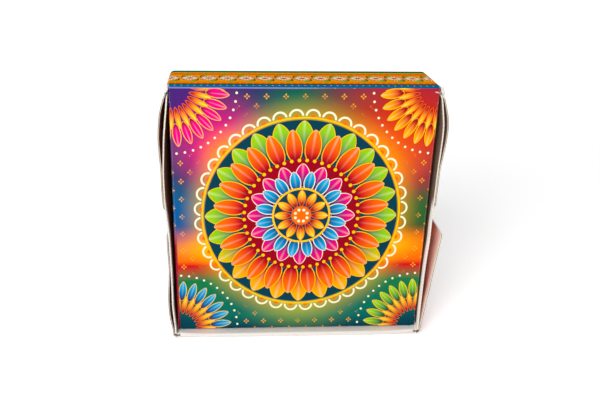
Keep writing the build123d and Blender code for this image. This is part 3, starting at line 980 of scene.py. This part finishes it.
def band_print(recipe):
    """Print of the hinge wall and its ears: bands along the crease with a row of marigolds."""
    inks = recipe.inks
    across, along = recipe.sheet_place()
    depth = along * (-1.0 / WALL_DEPTH)
    recipe.tone = recipe.node("ShaderNodeValToRGB", {"stops": (
        (0.0, inks.blue), (0.04, inks.azure), (0.09, inks.azure), (0.12, inks.night),
        (0.15, inks.umber), (0.18, inks.orange), (0.36, inks.gold), (0.64, inks.gold),
        (0.78, inks.ember), (0.84, inks.gold), (0.88, inks.green), (1.0, inks.teal))},
        {0: depth})

    def row(place, count, shift=0.5):
        """Middles of a row of rosettes, count of them in each repeat."""
        return Rosette(recipe, recipe.cell(across * (count / PRINT_PITCH) + (40.0 + shift)),
                       (depth - place) * (2 * count * WALL_DEPTH / PRINT_PITCH))

    flower, leaf = row(0.5, 1), row(0.5, 1, 0.0)
    leaf.petals(2, 0.15, 1.9, inks.green, inks.lime, 0.5, 0.25, inks.umber, 0.12)
    leaf.petals(2, 0.15, 1.3, inks.crimson, inks.red, 0.3, 0.75, inks.umber, 0.1)
    flower.disc(1.02, inks.red, 0.12)
    flower.petals(16, 0.30, 0.95, inks.gold, inks.yellow, 0.9, 0.0, inks.cream, 0.09)
    flower.petals(12, 0.10, 0.62, inks.orange, inks.cream, 0.9, 0.5)
    flower.disc(0.2, inks.crimson, 0.05)
    for place, size, colour in ((0.065, 0.32, inks.cream), (0.20, 0.5, inks.gold),
                                (0.81, 0.5, inks.gold)):
        row(place, 3).disc(size, colour, 0.2)
    return finish_print(recipe, sheen=0.0)


def wall_print(recipe, pulled=False):
    """Print of the side walls, front wall, base and flaps: red field with small gold flowers."""
    inks = recipe.inks
    across, along = (place / PRINT_PITCH for place in recipe.sheet_place())
    recipe.tone = inks.crimson
    recipe.lay(inks.red, recipe.noise(14.0, 2.0, 0.4), 0.35, 0.65)
    flower, dot = (Rosette(recipe, recipe.cell(across + shift), recipe.cell(along + shift))
                   for shift in (40.25, 40.75))
    flower.petals(8, 0.10, 0.55, inks.orange, inks.yellow, 0.85)
    flower.beads(8, 0.62, 0.05, inks.orange, 0.5)
    flower.disc(0.12, inks.cream, 0.05)
    dot.petals(4, 0.03, 0.26, inks.orange, inks.yellow, 0.8)
    if pulled:
        recipe.cover(recipe.board.torn, pulled_share(recipe) * 0.85)
    return finish_print(recipe, tears=False)


def pulled_wall(recipe):
    """Print of the right wall, pulled off in patches where the loose ear was pasted."""
    return wall_print(recipe, True)


def finishes():
    """All finishes, made once."""
    made = {}
    for make in (inside_board, loose_inside, pulled_wall, cut_edge, pale_edge, fluted_paper,
                 dried_paste, torn_paper, white_coat, lid_print, band_print, wall_print):
        name = make.__name__
        made[name] = bpy.data.materials.get(name) or make(Recipe(bpy.data.materials.new(name)))
    return made


def skins(outside, edge="cut_edge", beyond=None, inside="inside_board"):
    """Materials of a sheet in the order of its face kinds."""
    made = finishes()
    return [made[outside], made[inside], made[edge], made["fluted_paper"], made[beyond or outside]]


# Operators

class SWEETBOX_OT_lid(bpy.types.Operator):
    """Make the lid panel, the flaps that hang from it and their creases"""
    bl_idname = "sweetbox.lid"
    bl_label = "Lid and flaps"

    LEAN = radians(7.0)                         # of the tuck flap
    TUCK_SHOULDER, TUCK_CORNER, FLANGE_DEPTH = 15 * MM, 9 * MM, 15 * MM
    PAST_FLANGE = 0.55 * MM                     # how far the lid's ends reach past its side folds

    def execute(self, context):
        low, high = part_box("left_flange_crease")
        self.first, self.last = HINGE.z - high.z, HINGE.z - low.z
        self.wide = FLANGE_X + self.PAST_FLANGE
        self.panel()
        self.hinge()
        self.tuck()
        for side, name in ((-1, "left_flange"), (1, "right_flange")):
            self.flange(name, side)
        return {"FINISHED"}

    def panel(self):
        def wear(across, along):
            inward = self.wide - across
            line = 2.5 * MM - 0.45 * inward + 0.05 * inward ** 2 / MM
            wrinkle = 1 - smooth(abs(along - line), 0.25 * MM, 0.7 * MM)
            wrinkle *= 1 - smooth(inward, 1.8 * MM, 3.8 * MM)
            return 0.66 * wrinkle + 0.12 * (1 - smooth(along, LAND, 3 * MM))

        rows = strips(steps(LAND, self.first, 0.9 * MM), self.wide)
        rows += strips(steps(self.first + NEXT_ROW, self.last, 1.8 * MM), FLANGE_X)
        rows += strips(steps(self.last + NEXT_ROW, LID_LENGTH, 0.8 * MM), self.wide)
        Sheet("lid_panel", rows, 150, place_lid, ("fold", "cut", "fold", "cut"),
              wear=wear).make("lid", skins("lid_print"))

    def hinge(self):
        """The crease between hinge wall and lid, where the two prints meet."""
        def wear(across, along):
            line = 1 - smooth(abs(along - LAND - 0.8 * HINGE_ARC), 0.25 * MM, 0.8 * MM)
            return line * (0.62 - 0.34 * smooth(across, -20 * MM, 60 * MM))

        length, change = 2 * LAND + HINGE_ARC, LAND + 0.6 * HINGE_ARC
        Sheet("lid_crease", strips(steps(0, length, 0.22 * MM), self.wide), 120, place_lid_crease,
              ("fold", "cut", "fold", "cut"), SCORE, wear, lambda a, t: (a, t - change),
              beyond=lambda a, t: t < change, suffix="_fold").bridge(
                  "lid", (0, 0), (0, length), skins("lid_print", beyond="band_print"))

    def tuck(self):
        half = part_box("tuck_crease")[1].x
        arc = (pi / 2 + self.LEAN) * BOARD
        Sheet("tuck_crease", strips(steps(0, arc, 0.18 * MM), half), 100, place_tuck_crease,
              ("fold", "cut", "fold", "cut"), SCORE, lambda a, t: 0.18,
              lambda a, t: (a, LID_LENGTH + t), suffix="_fold").bridge(
                  "tuck", (0, 0), (0, arc), skins("lid_print"))
        depth = (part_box("tuck_flap")[1].y - TUCK.y) / cos(self.LEAN)
        narrow, corner = half - self.TUCK_SHOULDER, self.TUCK_CORNER
        rows = []
        for t in steps(0, depth, 0.8 * MM):
            reach = max(half - t, narrow)
            over = t - (depth - corner)
            if over > 0:
                reach = narrow - corner + (corner ** 2 - over ** 2) ** 0.5
            rows.append((t, -reach, reach))
        Sheet("tuck_flap", rows, 70, place_tuck(self.LEAN), ("fold", "cut", "flute", "cut"),
              print_at=lambda a, t: (a, LID_LENGTH + arc + t)).make("tuck", skins("lid_print"))

    def flange(self, name, side):
        normal = ON_LID.inverted().to_3x3() @ main_normal(name, side)
        flare = atan2(-normal.y, normal.x * side)
        arc = (pi / 2 - flare) * BOARD
        Sheet(name + "_crease", [(t, 0, arc) for t in steps(self.first, self.last, 2.0 * MM)], 8,
              place_flange_crease(side), ("cut", "fold", "cut", "fold"), SCORE, lambda a, t: 0.15,
              lambda a, t: (side * (FLANGE_X + a), t), suffix="_fold").bridge(
                  name, (0, LID_LENGTH / 2), (arc, LID_LENGTH / 2), skins("lid_print"))
        rows = [(t, 0, min(self.FLANGE_DEPTH, t - self.first + 0.1 * MM, self.last - t + 0.1 * MM))
                for t in steps(self.first, self.last, 1.25 * MM)]
        Sheet(name, rows, 20, place_flange(side, flare), ("cut", "cut", "cut", "fold")).make(
            name, skins("wall_print"))


class SWEETBOX_OT_tray(bpy.types.Operator):
    """Make the base, the hinge wall, the front wall with its rolled rim, and the side walls"""
    bl_idname = "sweetbox.tray"
    bl_label = "Tray walls"

    WALL_CLIP, TAB_CLIP = 5 * MM, 4 * MM        # corners that are cut off at a slant

    def execute(self, context):
        half_z = (BASE_HIGH.z - BASE_LOW.z) / 2
        Sheet("base_panel", strips(steps(-half_z, half_z, 4 * MM), BASE_HIGH.x), 40, place_base,
              ("fold",) * 4).make("tray", skins("wall_print"))
        flat = FOLD_Y - HINGE_FRONT
        places = steps(0, flat, 1.5 * MM) + steps(flat, flat + pi / 2 * BASE_FOLD, 0.3 * MM)[1:]
        Sheet("hinge_wall", strips(places, CORNER_X), 80, place_hinge_wall, ("fold",) * 4,
              wear=lambda a, t: 0.4 * smooth(t, flat - 0.5 * MM, flat + 1 * MM),
              print_at=lambda a, t: (a, HINGE.y - HINGE_FRONT - t)).make("tray", skins("band_print"))
        self.front()
        for side, name in ((-1, "left_wall"), (1, "right_wall")):
            self.wall(name, side)
            self.tab(name + "_tab", side)
        return {"FINISHED"}

    def front(self):
        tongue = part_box("front_wall")[0].y - RIM_Y
        inner = RIM_HALF + 0.15 * MM
        rows = [(t, tongue, WALL_ARC) for t in steps(-CORNER_X, -inner, 1 * MM)]
        rows += [(t, RIM_FOLD, WALL_ARC) for t in steps(NEXT_ROW - inner, inner - NEXT_ROW, 2 * MM)]
        rows += [(t, tongue, WALL_ARC) for t in steps(inner, CORNER_X, 1 * MM)]
        Sheet("front_wall", rows, 40, place_front_wall, ("fold", "fold", "fold", "cut"),
              print_at=turned).make("tray", skins("wall_print"))
        length = pi * RIM_FOLD + RIM_TOP - 2 * RIM_FOLD
        Sheet("front_rim", strips(steps(0, length, 0.25 * MM), RIM_HALF), 100, place_rim,
              ("fold", "cut", "fold", "cut"), suffix="_fold").make(
                  "tray", skins("white_coat", "pale_edge"))
        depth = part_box("front_lining")[1].y - LINING_Y
        rows = [(t, -lining_half(t), lining_half(t))
                for t in steps(0, 8 * MM, 0.5 * MM)[:-1] + steps(8 * MM, depth, 2 * MM)]
        # The lining's wear is painted shade: tan from 1.2 to 3.2 mm behind the rim onwards, towards and
        # under the lid's lower edge.
        Sheet("front_lining", rows, 100, place_lining, ("fold", "cut", "flute", "cut"),
              wear=lambda a, t: 0.75 * smooth(t, 1.2 * MM, 3.2 * MM)).make(
                  "tray", skins("white_coat"))

    def wall(self, name, side):
        # White on the wall's inner face: a painted highlight in a band along the rim, up to 75-110 mm
        # high, where light reaches into the gap beside the lid; and frayed white paper across the lowest
        # rows.
        def rim_highlight_and_frayed_end(across, along):
            rim = (1 - smooth(across, 2.2 * MM, 4.6 * MM)) * (1 - smooth(along, 75 * MM, 110 * MM))
            return max(rim, 1 - smooth(along, 4 * MM, 6 * MM))

        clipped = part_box(name)[1].z - self.WALL_CLIP
        places = steps(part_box(name + "_tab")[1].z, clipped, 1.2 * MM)[:-1]
        places += steps(clipped, clipped + self.WALL_CLIP, 0.5 * MM)
        Sheet(name, [(t, max(t - clipped, 0), WALL_ARC) for t in places], 36,
              place_wall(side, rim_profile(name)), ("cut", "fold", "cut", "cut"), torn=rim_highlight_and_frayed_end
              ).make("tray", skins("wall_print" if side < 0 else "pulled_wall", "pale_edge"))

    def tab(self, name, side):
        low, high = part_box(name)
        fold = high.z - low.z
        reach = pi / 2 * fold + high.x - low.x - fold
        rows = [(t, 0, reach - max(self.TAB_CLIP - min(t - low.y, high.y - t), 0))
                for t in steps(low.y, high.y, 1 * MM)]
        Sheet(name, rows, 60, place_tab(side, fold, low.z), ("cut", "cut", "cut", "fold"),
              print_at=turned, torn=lambda a, t: 1 - smooth(a, 5 * MM, 7 * MM)
              ).make("tray", skins("white_coat", "pale_edge"))


class SWEETBOX_OT_ears(bpy.types.Operator):
    """Make the four corner ears, the loose one's crease, and finish the dried paste"""
    bl_idname = "sweetbox.ears"
    bl_label = "Corner ears"

    TAPER, FRONT_CLIP = 3 * MM, 1.5 * MM
    POINT = 0.01 * MM                           # half the width of a smear's pointed ends

    def execute(self, context):
        for name, side, clip, crumple in (
                ("hinge_left_ear", -1, 4.0 * MM, 0.9 * MM),
                ("hinge_right_ear", 1, 4.0 * MM, 0.7 * MM),
                ("front_left_ear", -1, self.FRONT_CLIP, 0.4 * MM)):
            self.pasted_ear(name, side, clip, crumple)
        self.loose_ear()
        for name, side in (("hinge_left", -1), ("hinge_right", 1), ("front_left", -1)):
            self.paste(name, side)
        return {"FINISHED"}

    def pasted_ear(self, name, side, clip, crumple):
        def wear(across, t):
            fold = 1 - smooth(abs(t - EAR_CORNER / 2), 0.5 * MM, 2.6 * MM)
            return fold * (1 - 0.6 * smooth(across, 2 * MM, 9 * MM))

        def torn(across, t):
            deep = 9 * MM - 4 * MM * smooth(t, 2.5 * MM, 5 * MM)
            return (1 - smooth(t, 7 * MM, 9.5 * MM)) * (1 - smooth(across, 0.3 * deep, deep))

        low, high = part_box(name)
        length = EAR_CORNER + high.z - low.z - EAR_FOLD
        from_top = "hinge" in name
        place = place_ear(side, from_top, rim_profile(name), crumple)
        rows = [(t, max(t - (length - clip), 0),
                 WALL_DEPTH - self.TAPER * smooth(t, EAR_CORNER, length))
                for t in steps(0, EAR_CORNER, 0.35 * MM)[:-1] + steps(EAR_CORNER, length, 1.0 * MM)]
        more = {"torn": torn, "print_at": lambda a, t: (side * (CORNER_X + t), -a)} if from_top else {
            "print_at": turned}
        Sheet(name, rows, 36, place, ("fold", "flute", "cut", "flute"), wear=wear, **more).make(
            "tray", skins("band_print" if from_top else "wall_print"))
        if from_top:
            self.tear(name, side, place)

    def loose_ear(self):
        normal = main_normal("front_right_ear", 1)
        lean = atan2(-normal.z, normal.x)
        arc = (pi / 2 - lean) * EAR_FOLD
        Sheet("loose_ear_crease", [(t, 0, WALL_DEPTH) for t in steps(0, arc, 0.35 * MM)], 36,
              place_loose_crease, ("fold", "cut", "fold", "cut"), SCORE, lambda a, t: 0.5, turned,
              suffix="_fold").bridge("loose_ear", (0, 0), (0, arc), skins("wall_print"))
        length = (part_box("front_right_ear")[1].z - LOOSE.z) / cos(lean) - 0.2 * MM
        rows = [(t, max(t - (length - self.FRONT_CLIP), 0),
                 WALL_DEPTH - self.TAPER * smooth(t, 0, length))
                for t in steps(0.15 * MM, length, 1.0 * MM)]
        Sheet("front_right_ear", rows, 36, place_loose_ear(lean), ("fold", "flute", "cut", "flute"),
              print_at=lambda a, t: (arc + t, a)).make(
                  "loose_ear", skins("wall_print", inside="loose_inside"))

    def paste(self, corner, side):
        """A smear of dried paste with a wavy outline, in the gap between an ear and its wall."""
        low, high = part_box(corner + "_paste")
        profile = rim_profile(corner + "_ear")
        gap = EAR_X - BOARD - SIDE_X - PASTE_FILM

        def place(across, along, depth):
            share = max(1 - (across - RIM_Y) / WALL_DEPTH, 0)
            out = (np.interp(along, *profile) - EAR_X) * share
            return Vector((side * (EAR_X + out - BOARD - 0.5 * gap - depth), across, along))

        middle, rows = (low.y + high.y) / 2, []
        for t in steps(low.z, high.z, 0.7 * MM):
            share = (2 * t - low.z - high.z) / (high.z - low.z)
            half = (high.y - low.y) / 2 * (1 - share ** 6) ** 0.5 * (
                0.88 + 0.12 * noise.noise((t / (5 * MM), low.z / MM, side)))
            rows.append((t, middle - half - self.POINT, middle + half + self.POINT))
        Sheet(corner + "_paste", rows, 14, place, ("fold",) * 4, PASTE_FILM, suffix="_smear").make(
            "tray", [finishes()["dried_paste"]] * 5, "dried_paste")

    def tear(self, name, side, place):
        """Crumpled white paper, torn off the fold and pressed over the rim beside the corner."""
        reach, width = 5.4 * MM, EAR_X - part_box("lid_panel")[1].x - 0.7 * MM

        def over(across, along, depth):
            ragged = 0.9 + 0.25 * noise.noise((along / (0.9 * MM), side, 2.0))
            deep = across / width * (BOARD * 3.0) * ragged - 0.5 * MM * smooth(along, 0, 2 * MM)
            fold = noise.noise((across / (0.8 * MM), along / (1.1 * MM), 4.0 * side))
            lift = (0.32 + 0.3 * fold) * MM * smooth(across, 0, 0.4 * MM) + 0.05 * MM
            return place(0, along, deep) + Vector((0, depth - lift, 0))

        rows = []
        for t in steps(0, reach, 0.22 * MM):
            share = 1 - smooth(t, 0.72 * reach, reach)
            ragged = 1 + 0.35 * noise.noise((t / (0.7 * MM), side, 9.0))
            rows.append((t, -0.25 * MM, max(width * share * ragged, 0.1 * MM)))
        Sheet(name, rows, 12, over, ("fold",) * 4, TORN_PAPER, suffix="_torn_paper").make(
            "tray", [finishes()["torn_paper"]] * 5, replaced=False)


class SWEETBOX_OT_stage(bpy.types.Operator):
    """Make the floor, the lights, the surroundings and the camera"""
    bl_idname = "sweetbox.stage"
    bl_label = "Stage"

    # The photograph's camera: 600 pixels wide, with its middle a little off the frame's
    WIDTH, FOCAL, SHIFT_X, SHIFT_Y = 600, 672.6, 26.8, -31.9
    PLACE = (-39.05 * MM, -389.75 * MM, 249.15 * MM)
    TILT, TURN, ROLL = 19.98, -3.34, 0.945
    SENSOR, NEAR = 36.0, 10 * MM
    FLOOR_HALF = 6.0
    LIFT_NEAR, LIFT_FAR, FAR_LIFT = 0.15, 1.6, 0.75     # the floor is lifted more far from the box

    def execute(self, context):
        context.scene.view_settings.view_transform = "Standard"
        self.camera()
        self.floor()
        self.light()
        return {"FINISHED"}

    def add(self, name, data):
        thing = bpy.data.objects.new(name, data)
        bpy.context.scene.collection.objects.link(thing)
        return thing

    def camera(self):
        data = bpy.data.cameras.new("camera")
        data.sensor_width = self.SENSOR
        data.lens = self.FOCAL / self.WIDTH * self.SENSOR
        data.shift_x, data.shift_y = self.SHIFT_X / self.WIDTH, self.SHIFT_Y / self.WIDTH
        data.clip_start = self.NEAR
        camera = self.add("camera", data)
        camera.matrix_world = (Matrix.Translation(self.PLACE)
                               @ Matrix.Rotation(radians(self.TURN), 4, "Z")
                               @ Matrix.Rotation(radians(90 - self.TILT), 4, "X")
                               @ Matrix.Rotation(radians(self.ROLL), 4, "Z"))
        bpy.context.scene.camera = camera

    def floor(self):
        stage = bpy.context.scene.sweet_stage
        mesh = bpy.data.meshes.new("floor")
        size = self.FLOOR_HALF
        mesh.from_pydata([(-size, -size, 0), (size, -size, 0), (size, size, 0), (-size, size, 0)], [],
                         [(0, 1, 2, 3)])
        floor = self.add("floor", mesh)
        recipe = Recipe(bpy.data.materials.new("floor_white"))
        recipe.tone = recipe.blend(stage.floor, shade(stage.floor, 0.985), recipe.noise(4.0, 2.0, 0.5))
        place = recipe.node("ShaderNodeTexCoord", output="Object")
        far = recipe.node("ShaderNodeVectorMath", {"operation": "LENGTH"}, {0: place}, output="Value")
        lift = recipe.step(far, self.LIFT_NEAR, self.LIFT_FAR, stage.lift, self.FAR_LIFT)
        lift = recipe.node("ShaderNodeCombineColor", {}, {"Red": lift, "Green": lift, "Blue": lift})
        mesh.materials.append(recipe.finish(
            Roughness=0.9, Specular_IOR_Level=0.1, Emission_Strength=1.0,
            Emission_Color=recipe.blend((0.0, 0.0, 0.0), lift, recipe.seen())))

    def light(self):
        stage = bpy.context.scene.sweet_stage
        for name, power, size, place in (
                ("key", stage.key_power, 0.6, (-0.50, -1.15, 1.0)),
                ("fill", stage.fill_power, 0.8, (-0.90, -1.1, 0.5)),
                ("back", stage.back_power, 0.8, (0.1, 1.0, 1.0))):
            data = bpy.data.lights.new(name, "AREA")
            data.energy, data.size = power, size
            lamp = self.add(name, data)
            lamp.location = place
            aim = Vector((0, 0, 0.5 * TOP_Z)) - Vector(place)
            lamp.rotation_euler = aim.to_track_quat("-Z", "Y").to_euler()
        world = bpy.data.worlds.new("surroundings")
        bpy.context.scene.world = world
        recipe = Recipe(world, "Background")
        recipe.finish(Color=(1.0, 1.0, 1.0),
                      Strength=stage.world + recipe.seen() * (1.0 - stage.world))


class SWEETBOX_PT_panel(bpy.types.Panel):
    """Lists the box's pieces and their settings"""
    bl_idname = "SWEETBOX_PT_panel"
    bl_label = "Sweet Box"
    bl_space_type = "VIEW_3D"
    bl_region_type = "UI"
    bl_category = "Sweet Box"

    def draw(self, context):
        for operator in OPERATORS:
            self.layout.operator(operator.bl_idname)
        for name in GROUPS:
            group = getattr(context.scene, name)
            box = self.layout.box()
            for setting in group.__annotations__:
                box.prop(group, setting)


OPERATORS = (SWEETBOX_OT_stage, SWEETBOX_OT_lid, SWEETBOX_OT_tray, SWEETBOX_OT_ears)
GROUPS = {"sweet_board": BoardSettings, "sweet_print": PrintSettings, "sweet_stage": StageSettings}
CLASSES = (*GROUPS.values(), *OPERATORS, SWEETBOX_PT_panel)


def register():
    for kind in CLASSES:
        bpy.utils.register_class(kind)
    for name, group in GROUPS.items():
        setattr(bpy.types.Scene, name, PointerProperty(type=group))


def unregister():
    for name in GROUPS:
        delattr(bpy.types.Scene, name)
    for kind in reversed(CLASSES):
        bpy.utils.unregister_class(kind)


def main():
    register()
    bpy.ops.sweetbox.stage()
    bpy.ops.sweetbox.lid()
    bpy.ops.sweetbox.tray()
    bpy.ops.sweetbox.ears()
    bpy.context.view_layer.update()


if __name__ == "__main__":
    main()
